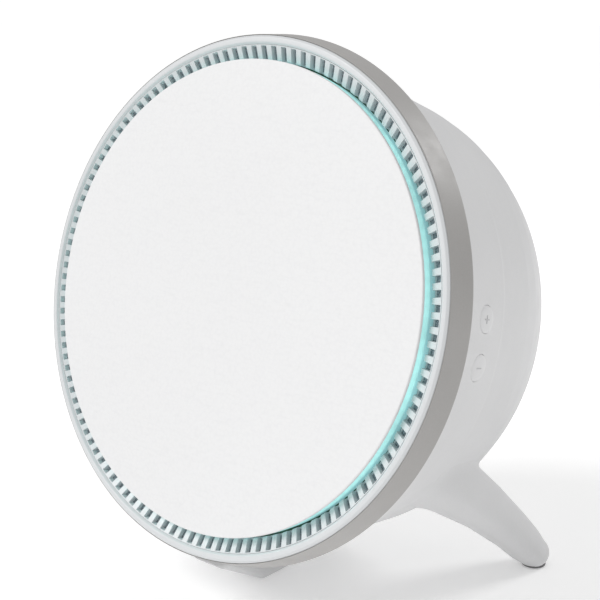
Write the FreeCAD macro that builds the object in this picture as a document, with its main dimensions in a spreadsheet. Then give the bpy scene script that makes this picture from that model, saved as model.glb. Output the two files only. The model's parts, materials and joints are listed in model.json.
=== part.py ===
import FreeCAD, Part
import math
import os
import Sketcher

# Desk smart speaker: a round drum standing on three moulded legs and leaning
# back.  Every drum piece is drawn about the drum's own axis: local Z runs out
# of the front face, local Y runs up the face, local z = 0 is the plane of the
# rim's front edge.  The drum is then tilted back by lean_deg and lifted to
# disc_height.  The floor is Z = 0.

os.makedirs("parts", exist_ok=True)
doc = FreeCAD.newDocument("smart_speaker")

D = dict(
    lean_deg=13.6, disc_height=120.0, disc_setback=-46.49,
    cover_r=90.66, cover_top=1.4, cover_t=1.0, panel_t=3.0, wall_base=3.2,
    light_in_r=87.6, slot_in_r=91.0, slot_out_r=97.4, slot_count=120.0, slot_w=2.5,
    rim_in_r=96.6, rim_r=100.0, rim_depth=4.4,
    band_front_r=100.25, band_back_r=102.7, band_depth=11.0, band_t=1.9,
    frame_front_r=97.0, frame_back_r=94.3, frame_back_z=48.0, frame_t=2.6,
    shell_front_r=93.4, shell_mid_r=91.6, shell_back_r=87.4, shell_back_z=88.0,
    shell_end_r=77.0, shell_end_z=101.0, shell_t=2.8,
    baffle_z=13.0, baffle_t=3.0, baffle_r=94.0,
    driver_r=46.0, driver_hole_r=41.5, driver_depth=47.0, magnet_r=31.0, magnet_t=13.0,
    cone_r=34.0, cone_throat_r=13.2, coil_r=12.9, dust_r=13.0, surround_r=40.5,
    button_r=5.0, button_up_deg=4.7, button_down_deg=-5.8, button_z=33.0, button_travel=0.6, button_clear=0.15,
    back_plate_r=72.0, back_plate_t=2.4,
    port_r=13.0, port_len=52.0, port_x=-40.0, port_y=26.0,
    board_w=84.0, board_h=58.0, board_t=1.6, board_z=84.0,
    pad_r=5.0, pad_t=2.6, sole_z=1.6,
    front_foot_half_w=9.6,
    leg0_x=59.0, leg0_y=43.0, leg0_z=-64.0, leg0_major=18.0, leg0_minor=16.5,
    leg1_x=66.5, leg1_y=56.5, leg1_z=-75.5, leg1_major=15.0, leg1_minor=13.0,
    leg2_x=73.0, leg2_y=71.5, leg2_z=-88.0, leg2_major=12.5, leg2_minor=10.6,
    leg3_x=78.6, leg3_y=85.2, leg3_z=-101.3, leg3_major=10.4, leg3_minor=8.8,
    leg4_x=81.6, leg4_y=92.6, leg4_z=-109.4, leg4_major=9.0, leg4_minor=8.0,
    leg5_x=83.6, leg5_y=97.2, leg5_z=-114.4, leg5_major=6.8, leg5_minor=6.0,
    leg_foot_x=84.0, leg_foot_y=97.6, front_foot_y=22.5,
)

sheet = doc.addObject("Spreadsheet::Sheet", "Dim")
for row, key in enumerate(D, start=1):
    sheet.set("A%d" % row, key)
    sheet.set("B%d" % row, repr(float(D[key])))
    sheet.setAlias("B%d" % row, key)
doc.recompute()

MADE = []


def term(tok):
    sign = 1.0
    if tok.startswith("-"):
        sign, tok = -1.0, tok[1:]
    if tok in D:
        return sign * D[tok], ("-" if sign < 0 else "") + "Dim." + tok
    return sign * float(tok), ("-" if sign < 0 else "") + tok


def val(e):
    """A number, or sums of alias names and numbers such as 'rim_r - 2'."""
    if not isinstance(e, str):
        return float(e), None
    toks = e.split()
    v, x = term(toks[0])
    i = 1
    while i < len(toks):
        w, y = term(toks[i + 1])
        if toks[i] == "+":
            v += w
        elif toks[i] == "-":
            v -= w
        elif toks[i] == "*":
            v *= w
        elif toks[i] == "/":
            v /= w
        else:
            raise ValueError(e)
        x = "(" + x + ") " + toks[i] + " " + y
        i += 2
    return v, x


def tilt():
    th = 90.0 - D["lean_deg"]
    return FreeCAD.Placement(
        FreeCAD.Vector(0, D["disc_setback"], D["disc_height"]),
        FreeCAD.Rotation(FreeCAD.Vector(1, 0, 0), th))


def bind_tilt(obj):
    obj.Placement = tilt()
    obj.setExpression(".Placement.Base.y", "Dim.disc_setback")
    obj.setExpression(".Placement.Base.z", "Dim.disc_height")
    obj.setExpression(".Placement.Rotation.Angle", "(90 - Dim.lean_deg) * 1deg")


def plane(body, role):
    for f in body.Origin.OriginFeatures:
        if f.Role == role:
            return f
    raise RuntimeError(role)


def new_body(label):
    b = doc.addObject("PartDesign::Body", "B_" + label)
    b.Label = label
    return b


def bound(sk, kind, geo, pos, e):
    v, x = val(e)
    n = sk.addConstraint(Sketcher.Constraint(kind, -1, 1, geo, pos, v))
    if x is not None and "Dim." in x:
        sk.setExpression("Constraints[%d]" % n, x)


def sketch(body, name, role, z=None):
    sk = body.newObject("Sketcher::SketchObject", name)
    sk.AttachmentSupport = [(plane(body, role), "")]
    sk.MapMode = "FlatFace"
    if z is not None:
        v, x = val(z)
        sk.AttachmentOffset = FreeCAD.Placement(FreeCAD.Vector(0, 0, v), FreeCAD.Rotation())
        if x is not None and "Dim." in x:
            sk.setExpression(".AttachmentOffset.Base.z", x)
    return sk


def polygon(sk, pts):
    """Closed outline; a point (x, y, mx, my) is followed by an arc through (mx, my)."""
    first = sk.GeometryCount
    vals = [(val(p[0])[0], val(p[1])[0]) for p in pts]
    n = len(pts)
    ends = []
    for i in range(n):
        a, b = vals[i], vals[(i + 1) % n]
        va, vb = FreeCAD.Vector(a[0], a[1], 0), FreeCAD.Vector(b[0], b[1], 0)
        if len(pts[i]) == 4:
            mid = FreeCAD.Vector(val(pts[i][2])[0], val(pts[i][3])[0], 0)
            arc = Part.Arc(va, mid, vb)
            g = sk.addGeometry(arc, False)
            start = sk.getPoint(g, 1)
            ends.append((1, 2) if (start - va).Length < 1e-6 else (2, 1))
            rad = sk.Geometry[g].Radius
            if (va - vb).Length < 1.98 * rad:
                sk.addConstraint(Sketcher.Constraint("Radius", g, rad))
        else:
            sk.addGeometry(Part.LineSegment(va, vb), False)
            ends.append((1, 2))
    for i in range(n):
        j = (i + 1) % n
        sk.addConstraint(Sketcher.Constraint("Coincident", first + i, ends[i][1], first + j, ends[j][0]))
    for i, p in enumerate(pts):
        bound(sk, "DistanceX", first + i, ends[i][0], p[0])
        bound(sk, "DistanceY", first + i, ends[i][0], p[1])


def circle(sk, x, y, r):
    v, e = val(r)
    g = sk.addGeometry(Part.Circle(FreeCAD.Vector(val(x)[0], val(y)[0], 0), FreeCAD.Vector(0, 0, 1), v), False)
    n = sk.addConstraint(Sketcher.Constraint("Radius", g, v))
    if e is not None and "Dim." in e:
        sk.setExpression("Constraints[%d]" % n, e)
    bound(sk, "DistanceX", g, 3, x)
    bound(sk, "DistanceY", g, 3, y)


def turned(label, pts, add=True, body=None):
    """Body of revolution about local Z; pts are (radius, local z)."""
    b = body or new_body(label)
    sk = sketch(b, "S_%s_%d" % (label, len(b.Group)), "XZ_Plane")
    polygon(sk, pts)
    kind = "PartDesign::Revolution" if add else "PartDesign::Groove"
    r = b.newObject(kind, "R_%s_%d" % (label, len(b.Group)))
    r.Profile = sk
    r.ReferenceAxis = (sk, ["V_Axis"])
    r.Angle = 360
    b.Tip = r
    return b


def extruded(body, label, z, length, draw, add=True, up=False):
    """Pad or pocket from local z, running to lower z unless up."""
    sk = sketch(body, "S_%s_%d" % (label, len(body.Group)), "XY_Plane", z)
    draw(sk)
    kind = "PartDesign::Pad" if add else "PartDesign::Pocket"
    p = body.newObject(kind, "P_%s_%d" % (label, len(body.Group)))
    p.Profile = sk
    v, x = val(length)
    p.Length = v
    if x is not None and "Dim." in x:
        p.setExpression("Length", x)
    p.Reversed = (not up) if add else up
    body.Tip = p
    return p


def polar(body, label, feats, count):
    pp = body.newObject("PartDesign::PolarPattern", "C_%s_%d" % (label, len(body.Group)))
    pp.Originals = feats
    pp.Axis = (plane(body, "Z_Axis"), [""])
    pp.Angle = 360
    v, x = val(count)
    body.Tip = pp
    pp.Occurrences = int(v)
    if x is not None and "Dim." in x:
        pp.setExpression("Occurrences", x)
    return pp


def done(obj):
    MADE.append(obj)
    return obj


def tilted(obj):
    bind_tilt(obj)
    return done(obj)


# ---------------------------------------------------------------- front disc
# Grained leather-look cover, wrapped over the panel's edge.
tilted(turned("front_disc_cover", [
    (0, "cover_top"), ("cover_r - 1.3", "cover_top"), ("cover_r - 0.4", "cover_top - 0.4"),
    ("cover_r", "cover_top - 1.2"), ("cover_r", 0.1),
    ("cover_r - 1", 0.1), ("cover_r - 1.3", "cover_top - 1"), (0, "cover_top - 1")]))

# Rigid panel with a rib ring and six hollow posts that stand on the baffle.
b = turned("disc_panel", [
    (0, "cover_top - 1"), ("cover_r - 1.35", "cover_top - 1"), ("cover_r - 1.05", 0.12),
    ("cover_r - 1.05", 0.05), ("light_in_r - 0.1", 0.05), ("light_in_r - 0.1", "-panel_t"),
    ("light_in_r - 2.6", "-panel_t"), ("light_in_r - 2.6", "-1.8"),
    (58, "-1.8"), (58, "-panel_t"), (56, "-panel_t"), (56, "-1.8"), (0, "-1.8")])
post = extruded(b, "disc_panel", "-1.7", "baffle_z - 1.7", lambda sk: (circle(sk, 76, 0, 4.0)))
polar(b, "disc_panel", [post], 6)
hole = extruded(b, "disc_panel", "-baffle_z", 7.0, lambda sk: circle(sk, 76, 0, 1.2), add=False, up=True)
polar(b, "disc_panel", [hole], 6)
tilted(b)

# Translucent light guide: the glowing side wall below the disc's edge, with a
# flange that reaches back to the lamps.
tilted(turned("light_guide_ring", [
    ("cover_r - 0.2", 0), ("cover_r - 0.2", "-wall_base"), ("cover_r - 0.7", "-wall_base - 1.2"),
    ("cover_r - 0.7", "-7.4"), ("light_in_r", "-7.4"), ("light_in_r", 0)]))

# Ring board with the lamps, below the light guide.
b = turned("led_ring_board", [("light_in_r - 6.5", "-8.6"), ("cover_r + 0.5", "-8.6"),
                              ("cover_r + 0.5", "-10.2"), ("light_in_r - 6.5", "-10.2")])
tilted(b)

b = new_body("lamp_one")
lamp = extruded(b, "lamp_one", "-8.6", 1.0, lambda sk: polygon(sk, [
    ("light_in_r - 0.2", -1.0), ("light_in_r + 1.8", -1.0), ("light_in_r + 1.8", 1.0), ("light_in_r - 0.2", 1.0)]),
    up=True)
LEDS = b

b = new_body("microphone_one")
extruded(b, "microphone_one", "-8.6", 1.0, lambda sk: polygon(sk, [
    ("light_in_r - 5.4", -1.6), ("light_in_r - 1.6", -1.6), ("light_in_r - 1.6", 1.6), ("light_in_r - 5.4", 1.6)]),
    up=True)
MICS = b

# ---------------------------------------------------------------- rim pieces
# Slotted ring: ribs slope from the rim down towards the light guide.
b = turned("slotted_vent_ring", [
    ("slot_in_r", "-3.8"), ("slot_in_r + 0.4", "-3.25"), ("rim_in_r - 0.1", "-0.9"), ("rim_in_r - 0.1", "-rim_depth"),
    ("slot_out_r", "-rim_depth"), ("slot_out_r", "-7.6"), ("slot_out_r - 1.2", "-7.6"), ("slot_out_r - 1.2", "-3.2"),
    ("slot_in_r + 0.8", "-5.4"), ("slot_in_r + 0.8", "-6.8"), ("slot_in_r", "-6.8")])
cut = extruded(b, "slotted_vent_ring", "0.5", 6.0, lambda sk: polygon(sk, [
    ("slot_in_r - 0.4", "slot_w / -2"), ("rim_in_r - 0.5", "slot_w / -2"),
    ("rim_in_r - 0.5", "slot_w / 2"), ("slot_in_r - 0.4", "slot_w / 2")]), add=False)
polar(b, "slotted_vent_ring", [cut], "slot_count")
tilted(b)

# Woven mesh ring behind the slots.
tilted(turned("vent_mesh_ring", [
    ("slot_out_r - 1.25", "-3.3"), ("slot_in_r + 0.85", "-5.5"), ("slot_in_r + 0.85", "-6.1"), ("slot_out_r - 1.25", "-3.95")]))

# White front rim, rounded on its outer front edge.
tilted(turned("front_rim", [
    ("rim_in_r", "-0.9"), ("rim_in_r + 0.5", "-0.35"), ("rim_in_r + 1.3", 0), ("rim_r - 1.1", 0),
    ("rim_r - 0.35", "-0.3"), ("rim_r", "-0.9"), ("rim_r", "-3.2"), ("rim_r - 1.6", "-3.2"),
    ("rim_r - 1.6", "-9.8"), ("slot_out_r + 0.1", "-9.8"), ("slot_out_r + 0.1", "-rim_depth + 0.1"),
    ("rim_in_r", "-rim_depth + 0.1")]))

# Grey hoop round the rim, wider at its back edge.
tilted(turned("outer_band", [
    ("rim_r + 0.12", "-0.7"), ("band_front_r + 0.1", "-1"), ("band_back_r", "-band_depth"),
    ("band_back_r - 0.5", "-band_depth - 0.4"), ("band_front_r - 1.4", "-band_depth - 0.4"),
    ("band_front_r - 1.4", "-10.1"), ("rim_r - 1.5", "-10.1"), ("rim_r - 1.5", "-3.3"), ("rim_r + 0.12", "-3.3")]))

# ---------------------------------------------------------------- baffle
b = turned("front_baffle", [
    ("driver_hole_r", "-baffle_z"), ("baffle_r", "-baffle_z"), ("baffle_r", "-8.3"), ("baffle_r + 3.2", "-8.3"),
    ("baffle_r + 3.2", "-10.6"), ("baffle_r + 1.6", "-10.6"), ("baffle_r + 1.6", "-baffle_z - baffle_t"),
    ("driver_hole_r", "-baffle_z - baffle_t")])
sc = extruded(b, "front_baffle", "-baffle_z + 0.5", "baffle_t + 1", lambda sk: circle(sk, 76, 0, 1.7), add=False)
polar(b, "front_baffle", [sc], 6)
sc = extruded(b, "front_baffle", "-baffle_z + 0.5", "baffle_t + 1",
              lambda sk: circle(sk, 77.596, 44.8, 1.7), add=False)
polar(b, "front_baffle", [sc], 6)
sc = extruded(b, "front_baffle", "-baffle_z - baffle_t - 0.5", "baffle_t",
              lambda sk: circle(sk, 43.4, 0, 1.2), add=False, up=True)
polar(b, "front_baffle", [sc], 4)
tilted(b)

# ---------------------------------------------------------------- driver
b = turned("driver_basket", [
    ("driver_r", "-baffle_z - baffle_t - 0.8"), ("driver_r", "-baffle_z - baffle_t - 2.2"),
    (40.6, "-baffle_z - baffle_t - 2.2"), (39.6, "-baffle_z - baffle_t - 6"), (30, "-baffle_z - 25"),
    (30, "-baffle_z - 29"), (14.4, "-baffle_z - 29"), (14.4, "-baffle_z - 27.6"), (28.6, "-baffle_z - 27.6"),
    (28.6, "-baffle_z - 24.4"), (38.2, "-baffle_z - baffle_t - 5.6"), (39.2, "-baffle_z - baffle_t - 2.2"),
    (39.2, "-baffle_z - baffle_t - 0.8")])
win = extruded(b, "driver_basket", "-baffle_z - 8.5", 13.5, lambda sk: polygon(sk, [
    (29.5, -7.5), (48, -12), (48, 12), (29.5, 7.5)]), add=False)
polar(b, "driver_basket", [win], 6)
ear = extruded(b, "driver_basket", "-baffle_z - baffle_t - 2.5", 2.5, lambda sk: circle(sk, 43.4, 0, 1.4), add=False, up=True)
polar(b, "driver_basket", [ear], 4)
tilted(b)

tilted(turned("driver_top_plate", [(14.4, "-baffle_z - 29.05"), (26, "-baffle_z - 29.05"),
                                   (26, "-baffle_z - 33"), (14.4, "-baffle_z - 33")]))
tilted(turned("driver_magnet", [(16.5, "-baffle_z - 33.05"), ("magnet_r", "-baffle_z - 33.05"),
                                ("magnet_r", "-baffle_z - 33.05 - magnet_t"), (16.5, "-baffle_z - 33.05 - magnet_t")]))
tilted(turned("driver_pole_yoke", [(0, "-baffle_z - 28.5"), (12.2, "-baffle_z - 28.5"), (12.2, "-baffle_z - 33.1 - magnet_t"),
                                   ("magnet_r - 2", "-baffle_z - 33.1 - magnet_t"),
                                   ("magnet_r - 3", "-baffle_z - 37.5 - magnet_t"), (0, "-baffle_z - 37.5 - magnet_t")]))
tilted(turned("driver_cone", [("cone_r", "-baffle_z - 5"), ("cone_throat_r", "-baffle_z - 17.5"),
                              ("cone_throat_r", "-baffle_z - 19"), ("cone_r", "-baffle_z - 6.2")]))
tilted(turned("driver_surround", [
    ("cone_r + 0.4", "-baffle_z - 6.2"), ("cone_r + 0.4", "-baffle_z - 5.2"), (35.4, "-baffle_z - 3.8"),
    (36.6, "-baffle_z - 3.2"), (37.8, "-baffle_z - 3.8"), (38.9, "-baffle_z - 5.2"), (38.1, "-baffle_z - 5.2"),
    (37.3, "-baffle_z - 4.4"), (36.6, "-baffle_z - 4.1"), (35.9, "-baffle_z - 4.4"), (35.3, "-baffle_z - 6.2")]))
tilted(turned("driver_dust_cap", [
    (0, "-baffle_z - 12.4"), (5, "-baffle_z - 12.9"), (9.5, "-baffle_z - 14.4"), ("cone_throat_r - 0.2", "-baffle_z - 16.6"),
    ("cone_throat_r - 0.2", "-baffle_z - 17.4"), (9, "-baffle_z - 15.3"), (4.8, "-baffle_z - 13.8"), (0, "-baffle_z - 13.3")]))
tilted(turned("driver_voice_coil", [
    (12.7, "-baffle_z - 17.6"), (13.1, "-baffle_z - 17.6"), (13.1, "-baffle_z - 28"), (13.6, "-baffle_z - 28"),
    (13.6, "-baffle_z - 36"), (12.7, "-baffle_z - 36")]))
tilted(turned("driver_spider", [
    (14.2, "-baffle_z - 24.8"), (17, "-baffle_z - 24.2"), (20, "-baffle_z - 25.2"), (23, "-baffle_z - 24.2"),
    (26, "-baffle_z - 25.2"), (28.3, "-baffle_z - 24.8"), (28.3, "-baffle_z - 25.3"), (26, "-baffle_z - 25.7"),
    (23, "-baffle_z - 24.7"), (20, "-baffle_z - 25.7"), (17, "-baffle_z - 24.7"), (14.2, "-baffle_z - 25.3")]))
b = turned("driver_gasket", [("driver_hole_r", "-baffle_z - baffle_t"), ("driver_r - 0.2", "-baffle_z - baffle_t"),
                             ("driver_r - 0.2", "-baffle_z - baffle_t - 0.8"), ("driver_hole_r", "-baffle_z - baffle_t - 0.8")])
gh = extruded(b, "driver_gasket", "-baffle_z - baffle_t + 0.5", 2.0, lambda sk: circle(sk, 43.4, 0, 1.3), add=False)
polar(b, "driver_gasket", [gh], 4)
tilted(b)


# ---------------------------------------------------------------- housing
V = FreeCAD.Vector


def tool(obj):
    """A drum-frame body used only as a boolean tool."""
    bind_tilt(obj)
    return obj


outer = tool(turned("housing_outer", [
    (0, "-band_depth - 0.5"), ("frame_front_r", "-band_depth - 0.5"), ("frame_back_r + 0.1", "-frame_back_z + 1.4"),
    ("frame_back_r - 0.3", "-frame_back_z + 0.3"), ("shell_front_r + 0.1", "-frame_back_z - 0.5"),
    ("shell_front_r", "-frame_back_z - 1.3", 91.9, -70.0),
    ("shell_back_r", "-shell_back_z", 84.1, -96.2), ("shell_end_r", "-shell_end_z"), (0, "-shell_end_z")]))
cavity = tool(turned("housing_cavity", [
    (0, -9), ("frame_front_r - 1.25", -9), ("frame_front_r - 1.25", "-baffle_z - baffle_t - 0.1"),
    ("frame_front_r - 3", "-baffle_z - baffle_t - 0.1"), ("frame_back_r - 2.8", "-frame_back_z + 1"),
    ("shell_front_r - 3", "-frame_back_z - 2"), (89.1, -70), ("shell_back_r - 2.9", "-shell_back_z + 0.5"),
    (80, -93.5), (74, "-shell_end_z + 5.2"), ("back_plate_r - 6", "-shell_end_z + 5.2"),
    ("back_plate_r - 6", "-shell_end_z + 2.4"), ("back_plate_r + 0.4", "-shell_end_z + 2.4"),
    ("back_plate_r + 0.4", "-shell_end_z - 1"), (0, "-shell_end_z - 1")]))

# Rear leg: a tongue through six oval sections, from inside the shell to the tip.
across = V(0.928, -0.370, 0.0)
upward = V(0.231, 0.579, 0.781)
across.normalize()
upward = (upward - across * upward.dot(across)).normalize()
m = FreeCAD.Matrix()
nrm = across.cross(upward)
m.A11, m.A21, m.A31 = across.x, across.y, across.z
m.A12, m.A22, m.A32 = upward.x, upward.y, upward.z
m.A13, m.A23, m.A33 = nrm.x, nrm.y, nrm.z
turn = FreeCAD.Placement(m).Rotation
ovals = []
for i in range(6):
    k = "leg%d" % i
    e = doc.addObject("Part::Ellipse", "Oval%d" % i)
    e.MajorRadius = D[k + "_major"]
    e.MinorRadius = D[k + "_minor"]
    e.setExpression("MajorRadius", "Dim.%s_major" % k)
    e.setExpression("MinorRadius", "Dim.%s_minor" % k)
    e.Placement = FreeCAD.Placement(
        V(D[k + "_x"], D[k + "_y"] + D["disc_setback"], D[k + "_z"] + D["disc_height"]), turn)
    e.setExpression(".Placement.Base.x", "Dim.%s_x" % k)
    e.setExpression(".Placement.Base.y", "Dim.%s_y + Dim.disc_setback" % k)
    e.setExpression(".Placement.Base.z", "Dim.%s_z + Dim.disc_height" % k)
    ovals.append(e)
leg = doc.addObject("Part::Loft", "RightLeg")
leg.Sections = ovals
leg.Solid = True
leg.Ruled = False


def upright(name, r, h, x, y, z):
    c = doc.addObject("Part::Cylinder", name)
    c.Radius, c.Height = val(r)[0], val(h)[0]
    for prop, e in (("Radius", r), ("Height", h)):
        x_ = val(e)[1]
        if x_ is not None and "Dim." in x_:
            c.setExpression(prop, x_)
    c.Placement = FreeCAD.Placement(V(val(x)[0], val(y)[0], val(z)[0]), FreeCAD.Rotation())
    for axis, e in (("x", x), ("y", y), ("z", z)):
        x_ = val(e)[1]
        if x_ is not None and "Dim." in x_:
            c.setExpression(".Placement.Base." + axis, x_)
    return c


foot = doc.addObject("Part::Cone", "FootRound")
foot.Radius1, foot.Radius2, foot.Height = 5.7, 5.0, 6.0
foot.Placement = FreeCAD.Placement(V(D["leg_foot_x"], D["leg_foot_y"] + D["disc_setback"], D["sole_z"]), FreeCAD.Rotation())
foot.setExpression("Radius1", "Dim.pad_r + 0.7")
foot.setExpression(".Placement.Base.x", "Dim.leg_foot_x")
foot.setExpression(".Placement.Base.y", "Dim.leg_foot_y + Dim.disc_setback")
foot.setExpression(".Placement.Base.z", "Dim.sole_z")
right_leg = doc.addObject("Part::Fuse", "RightLegWhole")
right_leg.Base, right_leg.Tool = leg, foot
left_leg = doc.addObject("Part::Mirroring", "LeftLegWhole")
left_leg.Source = right_leg
left_leg.Normal = V(1, 0, 0)
left_leg.Base = V(0, 0, 0)

# Front foot: a wedge under the drum, on the plane of symmetry.
ff = new_body("front_foot")
sk = sketch(ff, "S_front_foot", "YZ_Plane")
polygon(sk, [("disc_setback - 10.8", "disc_height - 94.1"), ("disc_setback - 12.75", "disc_height - 102.35"),
             ("disc_setback - 9.5", "disc_height - 105.2"),
             ("disc_setback + 14.5", "sole_z"), ("disc_setback + 31", "sole_z"),
             ("disc_setback + 50", "disc_height - 99"), ("disc_setback + 40", "disc_height - 88")])
p = ff.newObject("PartDesign::Pad", "P_front_foot")
p.Profile = sk
p.SideType = "Symmetric" if hasattr(p, "SideType") else None
p.Length = 2 * D["front_foot_half_w"]
p.setExpression("Length", "2 * Dim.front_foot_half_w")
ff.Tip = p
doc.recompute()
edges = []
for i, ed in enumerate(p.Shape.Edges, start=1):
    a, c = ed.Vertexes[0].Point, ed.Vertexes[-1].Point
    if abs(a.x - c.x) < 1e-6 and min(a.z, c.z) < D["disc_height"] - 99.5 and max(a.z, c.z) < 24:
        edges.append("Edge%d" % i)
fl = ff.newObject("PartDesign::Fillet", "F_front_foot")
fl.Base = (p, edges)
fl.Radius = 2.6
ff.Tip = fl

# Screw bosses inside the wall, and two ribs that hold the switch board.
bosses = new_body("bosses")
bs = extruded(bosses, "bosses", "-baffle_z - baffle_t - 0.1", 24, lambda sk: circle(sk, 77.596, 44.8, 3.2))
polar(bosses, "bosses", [bs], 6)
tool(bosses)
bosses_back = new_body("bosses_back")
bs = extruded(bosses_back, "bosses_back", "-shell_end_z + 13", "13 - 2.4", lambda sk: circle(sk, 69.4, 0, 3.3))
polar(bosses_back, "bosses_back", [bs], 6)
tool(bosses_back)
ribs = []
for k, y0 in enumerate((18.2, -20.2)):
    rb = doc.addObject("Part::Box", "SwitchRib%d" % k)
    rb.Length, rb.Width, rb.Height = 10.5, 2.0, 13.0
    rb.Placement = tilt().multiply(FreeCAD.Placement(V(82.0, y0, -41.0), FreeCAD.Rotation()))
    ribs.append(rb)

# Hole tools: buttons, screws.
def radial(angle_deg, dist, z):
    a = math.radians(angle_deg)
    x, y = V(-math.sin(a), math.cos(a), 0), V(0, 0, 1)
    zax = V(math.cos(a), math.sin(a), 0)
    mm = FreeCAD.Matrix()
    mm.A11, mm.A21, mm.A31 = x.x, x.y, x.z
    mm.A12, mm.A22, mm.A32 = y.x, y.y, y.z
    mm.A13, mm.A23, mm.A33 = zax.x, zax.y, zax.z
    pl = FreeCAD.Placement(mm)
    pl.Base = V(dist * zax.x, dist * zax.y, -z)
    return tilt().multiply(pl)


wall_r = D["frame_front_r"] - (D["frame_front_r"] - D["frame_back_r"]) * (
    D["button_z"] - D["band_depth"]) / (D["frame_back_z"] - D["band_depth"])
holes = []
for k, key in enumerate(("button_up_deg", "button_down_deg")):
    c = doc.addObject("Part::Cylinder", "ButtonHole%d" % k)
    c.Radius, c.Height = D["button_r"] + D["button_clear"], 12
    c.setExpression("Radius", "Dim.button_r + Dim.button_clear")
    c.Placement = radial(D[key], wall_r - 8, D["button_z"])
    holes.append(c)
for k in range(6):
    a = math.radians(30 + 60 * k)
    c = doc.addObject("Part::Cylinder", "BossHole%d" % k)
    c.Radius, c.Height = 1.25, 14
    c.Placement = tilt().multiply(FreeCAD.Placement(V(89.6 * math.cos(a), 89.6 * math.sin(a), -29.0), FreeCAD.Rotation()))
    holes.append(c)
    a = math.radians(60 * k)
    c = doc.addObject("Part::Cylinder", "BackHole%d" % k)
    c.Radius, c.Height = 1.25, 11
    c.Placement = tilt().multiply(FreeCAD.Placement(V(69.4 * math.cos(a), 69.4 * math.sin(a), -99.0), FreeCAD.Rotation()))
    holes.append(c)
pads = []
for k, (px, py) in enumerate((("leg_foot_x", "leg_foot_y + disc_setback"), ("-leg_foot_x", "leg_foot_y + disc_setback"),
                              (0, "front_foot_y + disc_setback"))):
    pads.append(upright("PadHole%d" % k, "pad_r + 0.06", "pad_t", px, py, 0))

hollow = doc.addObject("Part::Cut", "HousingHollow")
hollow.Base, hollow.Tool = outer, cavity
whole = doc.addObject("Part::MultiFuse", "HousingWhole")
whole.Shapes = [hollow, bosses, bosses_back] + ribs
tools = doc.addObject("Part::MultiFuse", "HousingTools")
tools.Shapes = holes
housing = doc.addObject("Part::Cut", "Housing")
housing.Base, housing.Tool = whole, tools
housing.Label = "rear_housing"
doc.recompute()
done(housing)

# The three legs, each cut to the drum's own surface and flat underneath.
floor_box = doc.addObject("Part::Box", "FloorCut")
floor_box.Length, floor_box.Width, floor_box.Height = 300, 300, 20
floor_box.Placement = FreeCAD.Placement(V(-150, -150, D["sole_z"] - 20), FreeCAD.Rotation())
floor_box.setExpression(".Placement.Base.z", "Dim.sole_z - 20")
under = doc.addObject("Part::MultiFuse", "LegTools")
under.Shapes = [outer, floor_box] + pads
three = []
for name, src in (("LegRight", right_leg), ("LegLeft", left_leg), ("LegFront", ff)):
    c = doc.addObject("Part::Cut", name)
    c.Base, c.Tool = src, under
    three.append(c)
legs = doc.addObject("Part::Compound", "StandLegs")
legs.Links = three
legs.Label = "stand_legs"
doc.recompute()
done(legs)


# ---------------------------------------------------------------- groups
def group(label, proto, places):
    """Separate copies of one small part under one name."""
    shapes = []
    for pl in places:
        sh = proto.Shape.copy()
        sh.Placement = pl.multiply(sh.Placement)
        shapes.append(sh)
    o = doc.addObject("Part::Feature", "G_" + label)
    o.Label = label
    o.Shape = Part.Compound(shapes)
    return done(o)


def spin(deg, at=None):
    r = FreeCAD.Placement(V(0, 0, 0), FreeCAD.Rotation(V(0, 0, 1), deg))
    if at is not None:
        return tilt().multiply(r.multiply(FreeCAD.Placement(V(*at), FreeCAD.Rotation())))
    return tilt().multiply(r)


doc.recompute()
group("led_emitters", LEDS, [spin(7.5 + 15 * i) for i in range(24)])
group("microphones", MICS, [spin(45 + 90 * i) for i in range(4)])


def screw(name, head_r, head_h, shank_r, length, flip=False):
    """Pan-head screw, head towards +Z unless flipped; z = 0 is under the head."""
    b = new_body(name)
    if flip:
        pts = [(0, -head_h), (head_r - 0.6, -head_h), (head_r, -head_h + 0.7), (head_r, 0), (shank_r, 0),
               (shank_r, length - 0.8), (0.1, length), (0, length)]
    else:
        pts = [(0, head_h), (head_r - 0.6, head_h), (head_r, head_h - 0.7), (head_r, 0), (shank_r, 0),
               (shank_r, -length + 0.8), (0.1, -length), (0, -length)]
    turned(name, pts, body=b)
    z0 = -head_h - 0.1 if flip else head_h + 0.1
    for wdt, hgt in ((2.4, 0.7), (0.7, 2.4)):
        extruded(b, name, z0, 0.95, lambda sk: polygon(sk, [
            (-wdt / 2, -hgt / 2), (wdt / 2, -hgt / 2), (wdt / 2, hgt / 2), (-wdt / 2, hgt / 2)]), add=False, up=flip)
    return b


s1 = screw("screw_front", 2.9, 1.8, 1.15, 12.0)
s2 = screw("screw_panel", 2.9, 1.8, 1.1, 8.0, flip=True)
s3 = screw("screw_driver", 2.2, 1.6, 1.1, 4.6, flip=True)
s4 = screw("screw_back", 2.6, 1.5, 1.15, 10.0, flip=True)
s5 = screw("screw_board", 2.2, 1.4, 1.0, 5.0)
doc.recompute()
zb = D["baffle_z"]
zt = zb + D["baffle_t"]
group("baffle_screws", s1, [spin(30 + 60 * i, (89.6, 0, -zb)) for i in range(6)])
group("panel_screws", s2, [spin(60 * i, (76, 0, -zt)) for i in range(6)])
group("driver_screws", s3, [spin(90 * i, (43.4, 0, -zt - 2.2)) for i in range(4)])
group("back_plate_screws", s4, [spin(60 * i, (69.4, 0, -D["shell_end_z"] + 0.9)) for i in range(6)])

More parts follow.
